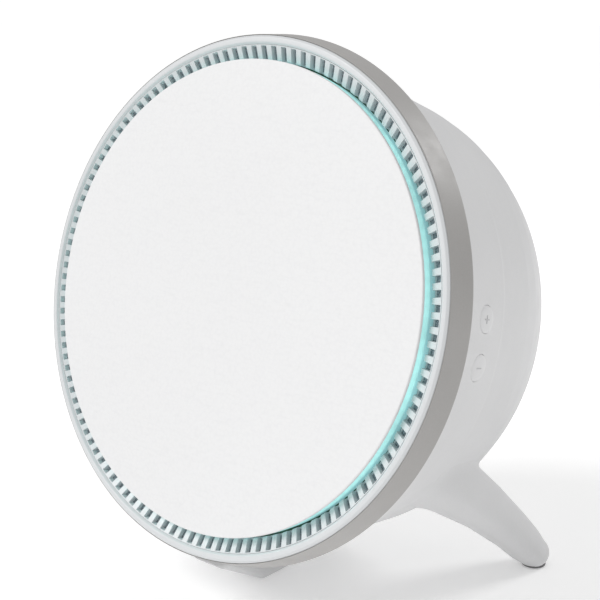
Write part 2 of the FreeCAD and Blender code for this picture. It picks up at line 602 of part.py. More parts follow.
# ---------------------------------------------------------------- back plate
ze = "-shell_end_z"
b = turned("back_plate", [(0, ze), (71, ze), ("back_plate_r", "-shell_end_z + 0.8"),
                          ("back_plate_r", "-shell_end_z + 2.4"), (0, "-shell_end_z + 2.4")])
pst = extruded(b, "back_plate", "-board_z - board_t", "shell_end_z - board_z - 3.6",
               lambda sk: [circle(sk, sx * 38, sy * 25 + 4, 3.2) for sx in (1, -1) for sy in (1, -1)])
extruded(b, "back_plate", "-board_z - board_t + 0.1", 7.0,
         lambda sk: [circle(sk, sx * 38, sy * 25 + 4, 1.05) for sx in (1, -1) for sy in (1, -1)], add=False)
extruded(b, "back_plate", -93.7, 5.0, lambda sk: [circle(sk, sx * 9, -52, 2.2) for sx in (1, -1)])


def stadium(sk, cx, cy, wdt, hgt):
    r = hgt / 2.0
    h = wdt / 2.0 - r
    polygon(sk, [(cx - h, cy - r), (cx + h, cy - r, cx + h + r, cy), (cx + h, cy + r), (cx - h, cy + r, cx - h - r, cy)])


extruded(b, "back_plate", -98, 4.0, lambda sk: stadium(sk, 0, -52, 9.3, 3.6), add=False)
hole = extruded(b, "back_plate", "-shell_end_z + 2.5", 3.0, lambda sk: circle(sk, 69.4, 0, 1.4), add=False)
polar(b, "back_plate", [hole], 6)
seat = extruded(b, "back_plate", "-shell_end_z + 0.9", 2.0, lambda sk: circle(sk, 69.4, 0, 2.75), add=False)
polar(b, "back_plate", [seat], 6)
tilted(b)

# Power inlet: a flat oval socket with a centre tongue, on its own small board.
b = new_body("power_inlet")
extruded(b, "power_inlet", -93.75, 7.1, lambda sk: stadium(sk, 0, -52, 8.94, 3.26))
extruded(b, "power_inlet", -94.8, 7.0, lambda sk: stadium(sk, 0, -52, 8.34, 2.56), add=False)
extruded(b, "power_inlet", -94.7, 5.4, lambda sk: polygon(sk, [(-3.35, -52.35), (3.35, -52.35), (3.35, -51.65), (-3.35, -51.65)]))
tilted(b)
b = new_body("power_board")
extruded(b, "power_board", -92.1, 1.6, lambda sk: polygon(sk, [(-13, -61), (13, -61), (13, -43.5), (-13, -43.5)]))
extruded(b, "power_board", -88.1, 4.1, lambda sk: polygon(sk, [(-5, -60), (2, -60), (2, -55), (-5, -55)]))
tilted(b)

# ---------------------------------------------------------------- main board
b = new_body("main_board")
extruded(b, "main_board", "-board_z", "board_t", lambda sk: polygon(sk, [
    ("board_w / -2", -25), ("board_w / 2", -25), ("board_w / 2", "board_h - 25"), ("board_w / -2", "board_h - 25")]))
extruded(b, "main_board", "-board_z + 0.5", 3.0,
         lambda sk: [circle(sk, sx * 38, sy * 25 + 4, 1.1) for sx in (1, -1) for sy in (1, -1)], add=False)
tilted(b)
group("board_screws", s5, [tilt().multiply(FreeCAD.Placement(V(sx * 38, sy * 25 + 4, -D["board_z"]), FreeCAD.Rotation()))
                           for sx in (1, -1) for sy in (1, -1)])
b = new_body("processor_shield")
extruded(b, "processor_shield", "-board_z + 2.4", 2.4, lambda sk: polygon(sk, [(-28, -8), (4, -8), (4, 24), (-28, 24)]))
tilted(b)
b = new_body("heat_sink")
extruded(b, "heat_sink", "-board_z + 4.4", 2.0, lambda sk: polygon(sk, [(-27, -7), (3, -7), (3, 23), (-27, 23)]))
extruded(b, "heat_sink", "-board_z + 9", 4.7, lambda sk: [polygon(sk, [(-27 + 4.7 * i, -7), (-25.5 + 4.7 * i, -7), (-25.5 + 4.7 * i, 23), (-27 + 4.7 * i, 23)])
                                                      for i in range(7)])
tilted(b)


def block(name, x0, y0, x1, y1, z, hgt):
    o = doc.addObject("Part::Box", name)
    o.Length, o.Width, o.Height = x1 - x0, y1 - y0, hgt
    o.Placement = tilt().multiply(FreeCAD.Placement(V(x0, y0, z), FreeCAD.Rotation()))
    return o


def drum(name, x, y, r, z, hgt):
    o = doc.addObject("Part::Cylinder", name)
    o.Radius, o.Height = r, hgt
    o.Placement = tilt().multiply(FreeCAD.Placement(V(x, y, z), FreeCAD.Rotation()))
    return o


zf = -D["board_z"]
parts = [drum("Cap0", 14, 20, 4.0, zf, 11), drum("Cap1", 25, 20, 4.0, zf, 11), drum("Cap2", 14, -14, 3.0, zf, 7),
         block("Coil0", 20, -4, 30, 6, zf, 5), block("Coil1", 20, -18, 30, -8, zf, 5),
         block("Amp", 6, -2, 15, 7, zf, 1.2), block("Flash", -20, -20, -9, -13, zf, 1.1), block("Plug", -4, -22, 8, -18, zf, 5)]
c = doc.addObject("Part::Compound", "BoardParts")
c.Links = parts
c.Label = "board_components"
done(c)
ant = doc.addObject("Part::Compound", "Antennas")
ant.Links = [block("Ant0", 12, 40, 38, 48, -98.6, 0.8), block("Ant1", -38, 40, -12, 48, -98.6, 0.8)]
ant.Label = "antenna_boards"
done(ant)
tilted(turned("damping_foam", [(80, -52), (88.6, -52), (88.6, -66), (80, -66)]))

# ---------------------------------------------------------------- side buttons
wr = wall_r
for name, key in (("volume_up_button", "button_up_deg"), ("volume_down_button", "button_down_deg")):
    b = turned(name, [(0, 0.45), (3.2, 0.4), (4.4, 0.15), ("button_r", -0.5), ("button_r", -3.6), ("button_r + 1", -3.6),
                      ("button_r + 1", -4.6), (1.5, -4.6), (1.5, -6.0), (0, -6.0)])
    b.Placement = radial(D[key], wr, D["button_z"])
    done(b)
    print(name, "axis", b.Placement.Rotation.multVec(V(0, 0, 1)), "centre", b.Placement.Base)
b = block("SwitchBoard", 82.0, -18.15, 83.6, 18.15, -41, 13)
b.Label = "switch_board"
done(b)
sw = []
for k, key in enumerate(("button_up_deg", "button_down_deg")):
    y = 85.5 * math.tan(math.radians(D[key]))
    sw.append(block("SwitchBase%d" % k, 83.6, y - 3, 87.1, y + 3, -36, 6))
    pl = doc.addObject("Part::Cylinder", "SwitchTop%d" % k)
    pl.Radius, pl.Height = 1.75, 0.8
    pl.Placement = tilt().multiply(FreeCAD.Placement(V(87.1, y, -33), FreeCAD.Rotation(V(0, 1, 0), 90)))
    one = doc.addObject("Part::Fuse", "Switch%d" % k)
    one.Base, one.Tool = sw.pop(), pl
    sw.append(one)
c = doc.addObject("Part::Compound", "Switches")
c.Links = sw
c.Label = "tact_switches"
done(c)

# ---------------------------------------------------------------- foot pads
pp = []
for k, (px, py) in enumerate((("leg_foot_x", "leg_foot_y + disc_setback"), ("-leg_foot_x", "leg_foot_y + disc_setback"),
                              (0, "front_foot_y + disc_setback"))):
    pp.append(upright("Pad%d" % k, "pad_r", "pad_t", px, py, 0))
c = doc.addObject("Part::Compound", "Pads")
c.Links = pp
c.Label = "foot_pads"
done(c)

# ---------------------------------------------------------------- write out
doc.recompute()
bad = []
for o in doc.Objects:
    if "Invalid" in o.State or "Error" in o.State:
        bad.append(o.Name)
if bad:
    raise RuntimeError("features in error: " + ", ".join(bad))
seen = set()
box = FreeCAD.BoundBox()
for o in MADE:
    sh = o.Shape
    if sh.isNull() or not sh.isValid():
        raise RuntimeError("bad shape: " + o.Label)
    if o.Label in seen:
        raise RuntimeError("label twice: " + o.Label)
    seen.add(o.Label)
    box.add(sh.BoundBox)
    sh.exportStep("parts/" + o.Label + ".step")
    print("%-22s solids %3d  volume %10.1f  z %.2f..%.2f" % (o.Label, len(sh.Solids), sh.Volume, sh.BoundBox.ZMin, sh.BoundBox.ZMax))
print(len(MADE), "sub-parts", box)
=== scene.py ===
import json
import math

import bmesh
import bpy
import numpy as np
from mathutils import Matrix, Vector


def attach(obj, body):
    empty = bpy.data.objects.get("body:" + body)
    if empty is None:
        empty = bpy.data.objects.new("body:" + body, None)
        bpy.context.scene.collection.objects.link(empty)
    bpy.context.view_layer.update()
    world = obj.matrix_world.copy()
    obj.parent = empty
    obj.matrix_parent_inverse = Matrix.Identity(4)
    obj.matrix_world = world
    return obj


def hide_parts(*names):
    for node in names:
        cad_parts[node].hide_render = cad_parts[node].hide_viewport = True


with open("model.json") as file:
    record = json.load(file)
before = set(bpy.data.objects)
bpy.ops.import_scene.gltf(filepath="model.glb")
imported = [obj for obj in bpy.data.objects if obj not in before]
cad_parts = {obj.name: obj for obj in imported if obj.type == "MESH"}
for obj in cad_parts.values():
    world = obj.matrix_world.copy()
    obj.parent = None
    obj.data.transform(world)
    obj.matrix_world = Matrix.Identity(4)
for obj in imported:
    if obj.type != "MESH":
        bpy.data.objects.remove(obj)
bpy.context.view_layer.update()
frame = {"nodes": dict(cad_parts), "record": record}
SC = bpy.context.scene
NODES = frame["nodes"]

# ------------------------------------------------------------------ geometry
# Millimetre dimensions shared with the CAD part.  The drum is drawn about its
# own axis (local z out of the front face, local y up the face), then tilted.
LEAN = math.radians(13.6)
CY, CZ = -46.49, 120.0
SL, CL = math.sin(LEAN), math.cos(LEAN)


def place(p):
    """Drum frame in mm to row frame in metres, for an N x 3 array."""
    p = np.asarray(p, float).reshape(-1, 3)
    x = p[:, 0]
    y = CY + p[:, 1] * SL - p[:, 2] * CL
    z = CZ + p[:, 1] * CL + p[:, 2] * SL
    return np.stack([x, y, z], 1) / 1000.0


def new_object(name, verts, faces, mat=None, smooth=True, body="speaker"):
    me = bpy.data.meshes.new(name)
    me.from_pydata([tuple(v) for v in verts], [], [tuple(f) for f in faces])
    me.update()
    ob = bpy.data.objects.new(name, me)
    SC.collection.objects.link(ob)
    if smooth:
        me.polygons.foreach_set("use_smooth", [True] * len(me.polygons))
    if mat is not None:
        me.materials.append(mat)
    if body:
        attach(ob, body)
    return ob


def rounded(pts, radii, steps=5):
    """Closed outline with its corners rounded; pts (r, z), radii per corner in mm."""
    out = []
    n = len(pts)
    for i in range(n):
        p = np.array(pts[i], float)
        a = np.array(pts[i - 1], float) - p
        b = np.array(pts[(i + 1) % n], float) - p
        la, lb = np.linalg.norm(a), np.linalg.norm(b)
        r = radii[i]
        if r <= 0:
            out.append(tuple(p))
            continue
        a, b = a / la, b / lb
        ang = math.acos(max(-1, min(1, float(a @ b))))
        d = min(r / math.tan(ang / 2), la * 0.49, lb * 0.49)
        s, e = p + a * d, p + b * d
        for k in range(steps + 1):
            t = k / steps
            q = (1 - t) ** 2 * s + 2 * t * (1 - t) * p + t * t * e
            out.append((float(q[0]), float(q[1])))
    return out


def lathe(name, outline, mat, seg=288, body="speaker", crown=None):
    """Closed ring or disc turned from an outline of (r, z) in the drum frame."""
    ang = np.linspace(0, 2 * np.pi, seg, endpoint=False)
    rows = []
    index = []
    verts = []
    for r, z in outline:
        if r < 1e-6:
            index.append([len(verts)])
            verts.append((0, 0, z))
        else:
            index.append(list(range(len(verts), len(verts) + seg)))
            verts += [(r * math.cos(a), r * math.sin(a), z) for a in ang]
    faces = []
    n = len(outline)
    for i in range(n):
        a, b = index[i], index[(i + 1) % n]
        if len(a) == 1 and len(b) == 1:
            continue
        for k in range(seg):
            k2 = (k + 1) % seg
            if len(a) == 1:
                faces.append((a[0], b[k2], b[k]))
            elif len(b) == 1:
                faces.append((a[k], a[k2], b[0]))
            else:
                faces.append((a[k], a[k2], b[k2], b[k]))
    ob = new_object(name, place(verts), faces, mat, body=body)
    bm = bmesh.new()
    bm.from_mesh(ob.data)
    bmesh.ops.recalc_face_normals(bm, faces=bm.faces)
    bm.to_mesh(ob.data)
    bm.free()
    ob.data.update()
    return ob



# ------------------------------------------------------------------ mouldings
def smin(a, b, k):
    """Smooth union of two distance fields, blend radius about k mm."""
    h = np.clip(0.5 + 0.5 * (b - a) / k, 0.0, 1.0)
    return b * (1 - h) + a * h - k * h * (1 - h)


def drum_coords(p):
    """Row frame (mm, relative to the disc centre) to drum radius and depth."""
    y = p[..., 1] * SL + p[..., 2] * CL
    z = -p[..., 1] * CL + p[..., 2] * SL
    return np.sqrt(p[..., 0] ** 2 + y ** 2), z


OUTLINE = rounded(
    [(97.0, -11.5), (94.4, -46.4), (94.25, -47.2), (93.75, -47.9), (93.5, -48.6), (93.4, -49.6), (93.18, -54.0), (92.75, -60.5),
     (91.9, -70.0), (90.5, -78.5), (88.9, -84.2), (87.4, -88.0), (86.1, -91.6), (84.1, -95.2), (81.3, -98.6), (77.0, -101.0),
     (72.4, -101.0), (72.4, -98.6), (66.0, -98.6), (66.0, -95.8), (74.0, -95.8), (80.0, -93.5), (84.5, -87.5), (89.1, -70.0),
     (90.4, -50.0), (91.5, -47.0), (94.0, -16.1), (95.75, -16.1), (95.75, -11.5)],
    [0.35, 0.5, 0.4, 0.4, 0.3, 0.6, 3, 3, 6, 5, 4, 3, 2.5, 2.5, 2.2, 1.6, 0.35, 0, 0, 0, 0, 0, 0, 0, 0, 0, 0, 0.1, 0.1], 4)
WALL = [q for q in OUTLINE[:OUTLINE.index(min(OUTLINE, key=lambda q: q[1])) + 1]]


def wall_r(z):
    """Radius of the drum's outer skin at a depth."""
    zz = np.array([q[1] for q in WALL])[::-1]
    rr = np.array([q[0] for q in WALL])[::-1]
    return np.interp(z, zz, rr)


def drum_field(p, inset=0.0):
    r, z = drum_coords(p)
    return np.maximum(np.maximum((r - wall_r(z) + inset) * 0.985, z + 11.5 + inset), -101.0 + inset - z)


LEG = [((52.0, 30.0, -53.0), 19.5, 18.5), ((59.0, 43.0, -64.0), 18.0, 16.5), ((66.5, 56.5, -75.5), 15.0, 13.0), ((73.0, 71.5, -88.0), 12.5, 10.6),
       ((78.6, 85.2, -101.3), 10.4, 8.8), ((81.6, 92.6, -109.4), 9.0, 8.0), ((83.7, 97.4, -114.6), 7.2, 6.6)]
ACROSS = np.array([0.928, -0.370, 0.0])
ACROSS /= np.linalg.norm(ACROSS)
UPWARD = np.array([0.231, 0.579, 0.781])
UPWARD -= ACROSS * (UPWARD @ ACROSS)
UPWARD /= np.linalg.norm(UPWARD)


def leg_field(p):
    """Tongue of oval section that follows the leg's line, right side."""
    cs = np.array([c for c, _, _ in LEG], float)
    ma = np.array([a for _, a, _ in LEG], float)
    mi = np.array([b for _, _, b in LEG], float)
    axis = np.cross(ACROSS, UPWARD)
    if (cs[-1] - cs[0]) @ axis < 0:
        axis = -axis
    s = (cs - cs[0]) @ axis
    t = (p - cs[0]) @ axis
    cx = np.stack([np.interp(t, s, cs[:, k]) for k in range(3)], -1)
    over = np.clip(t - s[-1], 0, None)
    d = p - cx
    tt = np.clip(over, 0, None)
    a = np.interp(t, s, ma)
    b = np.interp(t, s, mi)
    u = (d @ ACROSS) / a
    v = (d @ UPWARD) / b
    w = (d @ axis) / (0.92 * b) * (over > 0)
    q = np.sqrt(u * u + v * v + w * w) + 1e-9
    g = np.sqrt((u / a) ** 2 + (v / b) ** 2 + (w / (0.92 * b)) ** 2) + 1e-9
    return q * (q - 1.0) / g


def poly_field(py, pz, pts):
    """Signed distance to a closed polygon in the YZ plane."""
    pts = np.array(pts, float)
    d = np.full(py.shape, 1e9)
    inside = np.zeros(py.shape, bool)
    n = len(pts)
    for i in range(n):
        ay, az = pts[i]
        by, bz = pts[(i + 1) % n]
        ey, ez = by - ay, bz - az
        t = np.clip(((py - ay) * ey + (pz - az) * ez) / (ey * ey + ez * ez), 0, 1)
        d = np.minimum(d, (py - ay - ey * t) ** 2 + (pz - az - ez * t) ** 2)
        cond = ((az > pz) != (bz > pz)) & (py < (by - ay) * (pz - az) / (bz - az + 1e-12) + ay)
        inside ^= cond
    d = np.sqrt(d)
    return np.where(inside, -d, d)


FRONT = [(-10.8, -90.0), (-12.75, -102.35), (-11.0, -106.3), (12.6, -119.35), (30.5, -119.35), (50.0, -99.0), (40.0, -84.0)]


def front_field(p, rnd=3.4):
    d2 = poly_field(p[..., 1], p[..., 2], FRONT) + rnd
    dx = np.abs(p[..., 0]) - 9.6 + rnd
    out = np.sqrt(np.clip(d2, 0, None) ** 2 + np.clip(dx, 0, None) ** 2)
    return out + np.minimum(np.maximum(d2, dx), 0) - rnd


def surface_net(field, lo, hi, h):
    """Closed quad mesh of field = 0 on a grid, vertices moved onto the surface."""
    n = [int(math.ceil((b - a) / h)) + 1 for a, b in zip(lo, hi)]
    ax = [lo[k] + h * np.arange(n[k]) for k in range(3)]
    g = np.stack(np.meshgrid(*ax, indexing="ij"), -1)
    v = field(g)
    neg = v < 0
    cells = tuple(m - 1 for m in n)
    acc = np.zeros(cells + (3,))
    cnt = np.zeros(cells)
    corner = [(i, j, k) for i in (0, 1) for j in (0, 1) for k in (0, 1)]

    def sub(a, c):
        return a[c[0]:c[0] + cells[0], c[1]:c[1] + cells[1], c[2]:c[2] + cells[2]]
    for c in corner:
        for k in range(3):
            if c[k]:
                continue
            e = list(c)
            e[k] = 1
            a, b = sub(v, c), sub(v, e)
            cross = (a < 0) != (b < 0)
            t = np.where(cross, a / np.where(cross, a - b, 1.0), 0.0)
            off = np.zeros(cells + (3,))
            for q in range(3):
                off[..., q] = c[q]
            off[..., k] = t
            acc += off * cross[..., None]
            cnt += cross
    act = cnt > 0
    idx = -np.ones(cells, int)
    idx[act] = np.arange(int(act.sum()))
    ii = np.argwhere(act)
    verts = np.array(lo) + h * (ii + acc[act] / cnt[act][:, None])
    faces = []
    for k in range(3):
        a1, a2 = (k + 1) % 3, (k + 2) % 3
        sl0 = [slice(None)] * 3
        sl1 = [slice(None)] * 3
        sl0[k], sl1[k] = slice(0, n[k] - 1), slice(1, n[k])
        ch = neg[tuple(sl0)] != neg[tuple(sl1)]
        first = neg[tuple(sl0)]
        pos = np.argwhere(ch)
        ok = (pos[:, a1] > 0) & (pos[:, a2] > 0) & (pos[:, a1] < n[a1] - 1) & (pos[:, a2] < n[a2] - 1)
        pos = pos[ok]
        quad = []
        for da, db in ((1, 1), (0, 1), (0, 0), (1, 0)):
            q = pos.copy()
            q[:, a1] -= da
            q[:, a2] -= db
            quad.append(idx[q[:, 0], q[:, 1], q[:, 2]])
        quad = np.stack(quad, 1)
        fl = first[pos[:, 0], pos[:, 1], pos[:, 2]]
        quad[~fl] = quad[~fl][:, ::-1]
        faces.append(quad)
    faces = np.concatenate(faces)
    for _ in range(3):
        verts, grad = step_on(field, verts, 0.45 * h)
    return verts, faces, grad


def step_on(field, verts, cap=None):
    e = 0.04
    f0 = field(verts)
    grad = np.stack([field(verts + e * np.eye(3)[k]) - field(verts - e * np.eye(3)[k]) for k in range(3)], 1) / (2 * e)
    g2 = (grad ** 2).sum(1) + 1e-9
    mv = -f0 / g2
    if cap is not None:
        lim = cap / np.sqrt(g2)
        mv = np.clip(mv, -lim, lim)
    return verts + grad * mv[:, None], grad / np.sqrt(g2)[:, None]


def moulding(name, field, lo, hi, h, mat, body="speaker"):
    v, f, g = surface_net(field, lo, hi, h)
    ob = new_object(name, (v + np.array([0, CY, CZ])) / 1000.0, f.tolist(), mat, body=body)
    return ob, v


# ------------------------------------------------------------------ materials
def nodes_of(name):
    m = bpy.data.materials.new(name)
    m.use_nodes = True
    nt = m.node_tree
    nt.nodes.clear()
    out = nt.nodes.new("ShaderNodeOutputMaterial")
    bs = nt.nodes.new("ShaderNodeBsdfPrincipled")
    nt.links.new(bs.outputs[0], out.inputs[0])
    tc = nt.nodes.new("ShaderNodeTexCoord")
    return m, nt, bs, tc


def tex(nt, kind, tc, scale, stretch=None, **kw):
    t = nt.nodes.new(kind)
    t.inputs["Scale"].default_value = scale
    for k, v in kw.items():
        if k in t.inputs.keys():
            t.inputs[k].default_value = v
        else:
            setattr(t, k, v)
    src = tc.outputs["Object"]
    if stretch is not None:
        mp = nt.nodes.new("ShaderNodeMapping")
        mp.inputs["Scale"].default_value = stretch
        if isinstance(stretch, tuple) and len(stretch) == 3:
            nt.links.new(src, mp.inputs["Vector"])
        src = mp.outputs["Vector"]
    nt.links.new(src, t.inputs["Vector"])
    return t


def remap(nt, src, lo, hi, a=0.0, b=1.0):
    r = nt.nodes.new("ShaderNodeMapRange")
    r.inputs["From Min"].default_value = a
    r.inputs["From Max"].default_value = b
    r.inputs["To Min"].default_value = lo
    r.inputs["To Max"].default_value = hi
    nt.links.new(src, r.inputs["Value"])
    return r.outputs["Result"]


def ramp(nt, src, stops):
    r = nt.nodes.new("ShaderNodeValToRGB")
    el = r.color_ramp.elements
    while len(el) < len(stops):
        el.new(0.5)
    for e, (p, c) in zip(el, stops):
        e.position = p
        e.color = (*c, 1.0)
    nt.links.new(src, r.inputs["Fac"])
    return r.outputs["Color"]


def mix(nt, fac, a, b, mode="MIX"):
    m = nt.nodes.new("ShaderNodeMix")
    m.data_type = "RGBA"
    m.blend_type = mode
    for sock, v in ((m.inputs["Factor"], fac), (m.inputs["A"], a), (m.inputs["B"], b)):
        pass
    ins = [i for i in m.inputs if i.enabled]
    for sock, v in zip(ins, (fac, a, b)):
        if hasattr(v, "is_linked") or isinstance(v, bpy.types.NodeSocket):
            nt.links.new(v, sock)
        elif isinstance(v, (int, float)):
            sock.default_value = v
        else:
            sock.default_value = (*v, 1.0)
    return [o for o in m.outputs if o.enabled][0]


def bump(nt, bs, heights):
    """heights: list of (socket, strength, distance in m), stacked."""
    last = None
    for src, st, dist in heights:
        b = nt.nodes.new("ShaderNodeBump")
        b.inputs["Strength"].default_value = st
        b.inputs["Distance"].default_value = dist
        nt.links.new(src, b.inputs["Height"])
        if last is not None:
            nt.links.new(last, b.inputs["Normal"])
        last = b.outputs["Normal"]
    nt.links.new(last, bs.inputs["Normal"])


def moulded(name, col, rough=0.45, grain=1400.0, grain_bump=0.10, var=0.04, edge_highlight=0.06, spec=0.5, sub=0.0, coat=0.0):
    """Moulded plastic: fine spark-eroded grain, faint flow mottling, and a painted highlight that lightens sharp convex
    edges.
    """
    m, nt, bs, tc = nodes_of(name)
    big = tex(nt, "ShaderNodeTexNoise", tc, 14.0, Detail=3.0)
    fine = tex(nt, "ShaderNodeTexNoise", tc, grain, Detail=2.0)
    mid = tex(nt, "ShaderNodeTexNoise", tc, 160.0, Detail=4.0)
    c0 = tuple(max(0.0, c * (1 - var)) for c in col)
    c1 = tuple(min(1.0, c * (1 + var)) for c in col)
    base = ramp(nt, big.outputs["Fac"], [(0.3, c0), (0.7, c1)])
    speck = ramp(nt, fine.outputs["Fac"], [(0.35, (1 - var * 0.8,) * 3), (0.65, (1.0,) * 3)])
    base = mix(nt, 1.0, base, speck, "MULTIPLY")
    geo = nt.nodes.new("ShaderNodeNewGeometry")
    # painted highlight: convex edges, found from the mesh's pointiness, are mixed towards a lighter colour
    lit_edge = remap(nt, geo.outputs["Pointiness"], 0.0, edge_highlight, 0.52, 0.60)
    base = mix(nt, lit_edge, base, tuple(min(1.0, c * 1.25 + 0.05) for c in col))
    nt.links.new(base, bs.inputs["Base Color"])
    nt.links.new(remap(nt, mid.outputs["Fac"], rough - 0.06, rough + 0.07, 0.3, 0.7), bs.inputs["Roughness"])
    bs.inputs["Specular IOR Level"].default_value = spec
    if sub:
        bs.inputs["Subsurface Weight"].default_value = sub
        bs.inputs["Subsurface Radius"].default_value = (1.0, 0.9, 0.8)
        bs.inputs["Subsurface Scale"].default_value = 0.0015
    if coat:
        bs.inputs["Coat Weight"].default_value = coat
        bs.inputs["Coat Roughness"].default_value = 0.25
    bump(nt, bs, [(fine.outputs["Fac"], grain_bump, 0.00012), (mid.outputs["Fac"], grain_bump * 0.4, 0.0004)])
    return m


def leather(name, col):
    """Soft off-white leatherette: small pebbles, painted shade darkening the creases between them, drawn streaks."""
    m, nt, bs, tc = nodes_of(name)
    peb = tex(nt, "ShaderNodeTexVoronoi", tc, 760.0, feature="SMOOTH_F1", Smoothness=0.55, Randomness=1.0)
    peb2 = tex(nt, "ShaderNodeTexVoronoi", tc, 300.0, feature="SMOOTH_F1", Smoothness=0.8, Randomness=1.0)
    streak = tex(nt, "ShaderNodeTexNoise", tc, 1.0, stretch=(160.0, 900.0, 900.0), Detail=3.0)
    cloud = tex(nt, "ShaderNodeTexNoise", tc, 9.0, Detail=3.0)
    base = ramp(nt, cloud.outputs["Fac"], [(0.3, tuple(c * 0.985 for c in col)), (0.7, col)])
    # painted shade: the creases between the pebbles are darkened a little
    crease_shade = ramp(nt, peb.outputs["Distance"], [(0.35, (1.0,) * 3), (0.85, (0.975, 0.975, 0.977))])
    base = mix(nt, 1.0, base, crease_shade, "MULTIPLY")
    st = ramp(nt, streak.outputs["Fac"], [(0.36, (0.988, 0.988, 0.989)), (0.50, (1.0,) * 3)])
    base = mix(nt, 1.0, base, st, "MULTIPLY")
    nt.links.new(base, bs.inputs["Base Color"])
    nt.links.new(remap(nt, peb.outputs["Distance"], 0.42, 0.62), bs.inputs["Roughness"])
    bs.inputs["Specular IOR Level"].default_value = 0.35
    bs.inputs["Sheen Weight"].default_value = 0.08
    bs.inputs["Sheen Roughness"].default_value = 0.5
    inv = nt.nodes.new("ShaderNodeMath")
    inv.operation = "MULTIPLY"
    inv.inputs[1].default_value = -1.0
    nt.links.new(peb.outputs["Distance"], inv.inputs[0])
    inv2 = nt.nodes.new("ShaderNodeMath")
    inv2.operation = "MULTIPLY"
    inv2.inputs[1].default_value = -1.0
    nt.links.new(peb2.outputs["Distance"], inv2.inputs[0])
    bump(nt, bs, [(inv.outputs[0], 0.16, 0.00022), (inv2.outputs[0], 0.10, 0.00025), (streak.outputs["Fac"], 0.08, 0.0002)])
    return m


def glow(name, col, strength):
    """Lit translucent guide: colour and glow strength vary in soft noise patches."""
    m, nt, bs, tc = nodes_of(name)
    n1 = tex(nt, "ShaderNodeTexNoise", tc, 38.0, Detail=2.0)
    n2 = tex(nt, "ShaderNodeTexNoise", tc, 900.0, Detail=2.0)
    c = ramp(nt, n1.outputs["Fac"], [(0.3, tuple(x * 0.85 for x in col)), (0.7, col)])
    nt.links.new(c, bs.inputs["Base Color"])
    nt.links.new(c, bs.inputs["Emission Color"])
    nt.links.new(remap(nt, n1.outputs["Fac"], strength * 0.85, strength * 1.12, 0.3, 0.7), bs.inputs["Emission Strength"])
    nt.links.new(remap(nt, n2.outputs["Fac"], 0.25, 0.38), bs.inputs["Roughness"])
    bs.inputs["Subsurface Weight"].default_value = 0.3
    bs.inputs["Subsurface Radius"].default_value = (0.8, 1.0, 1.0)
    bs.inputs["Subsurface Scale"].default_value = 0.002
    bump(nt, bs, [(n2.outputs["Fac"], 0.06, 0.0001)])
    return m


def metal(name, col, rough=0.3, stretch=(900.0, 60.0, 60.0)):
    m, nt, bs, tc = nodes_of(name)
    br = tex(nt, "ShaderNodeTexNoise", tc, 1.0, stretch=stretch, Detail=4.0)
    cl = tex(nt, "ShaderNodeTexNoise", tc, 60.0, Detail=3.0)
    c = ramp(nt, cl.outputs["Fac"], [(0.3, tuple(x * 0.86 for x in col)), (0.7, col)])
    nt.links.new(c, bs.inputs["Base Color"])
    bs.inputs["Metallic"].default_value = 1.0
    nt.links.new(remap(nt, br.outputs["Fac"], rough - 0.08, rough + 0.12, 0.3, 0.7), bs.inputs["Roughness"])
    bump(nt, bs, [(br.outputs["Fac"], 0.12, 0.0001)])
    return m


def cloth(name, col, scale=1100.0, rough=0.9, st=0.6):
    """Woven or open-cell surface from a cell pattern and a soft noise."""
    m, nt, bs, tc = nodes_of(name)
    v = tex(nt, "ShaderNodeTexVoronoi", tc, scale, Randomness=0.7)
    n = tex(nt, "ShaderNodeTexNoise", tc, 30.0, Detail=3.0)
    c = ramp(nt, v.outputs["Distance"], [(0.1, tuple(x * 1.15 for x in col)), (0.7, tuple(x * 0.55 for x in col))])
    t = ramp(nt, n.outputs["Fac"], [(0.3, (0.85,) * 3), (0.7, (1.0,) * 3)])
    nt.links.new(mix(nt, 1.0, c, t, "MULTIPLY"), bs.inputs["Base Color"])
    nt.links.new(remap(nt, n.outputs["Fac"], rough - 0.08, rough, 0.3, 0.7), bs.inputs["Roughness"])
    bump(nt, bs, [(v.outputs["Distance"], st, 0.0004)])
    return m


def circuit(name):
    """Solder mask over copper pours and tracks."""
    m, nt, bs, tc = nodes_of(name)
    b = tex(nt, "ShaderNodeTexVoronoi", tc, 300.0, distance="CHEBYCHEV", Randomness=0.9)
    n = tex(nt, "ShaderNodeTexNoise", tc, 40.0, Detail=3.0)
    c = ramp(nt, b.outputs["Distance"], [(0.30, (0.012, 0.075, 0.035)), (0.42, (0.03, 0.16, 0.07))])
    t = ramp(nt, n.outputs["Fac"], [(0.3, (0.8,) * 3), (0.7, (1.0,) * 3)])
    nt.links.new(mix(nt, 1.0, c, t, "MULTIPLY"), bs.inputs["Base Color"])
    nt.links.new(remap(nt, b.outputs["Distance"], 0.22, 0.4), bs.inputs["Roughness"])
    bump(nt, bs, [(b.outputs["Distance"], 0.2, 0.0001)])
    return m


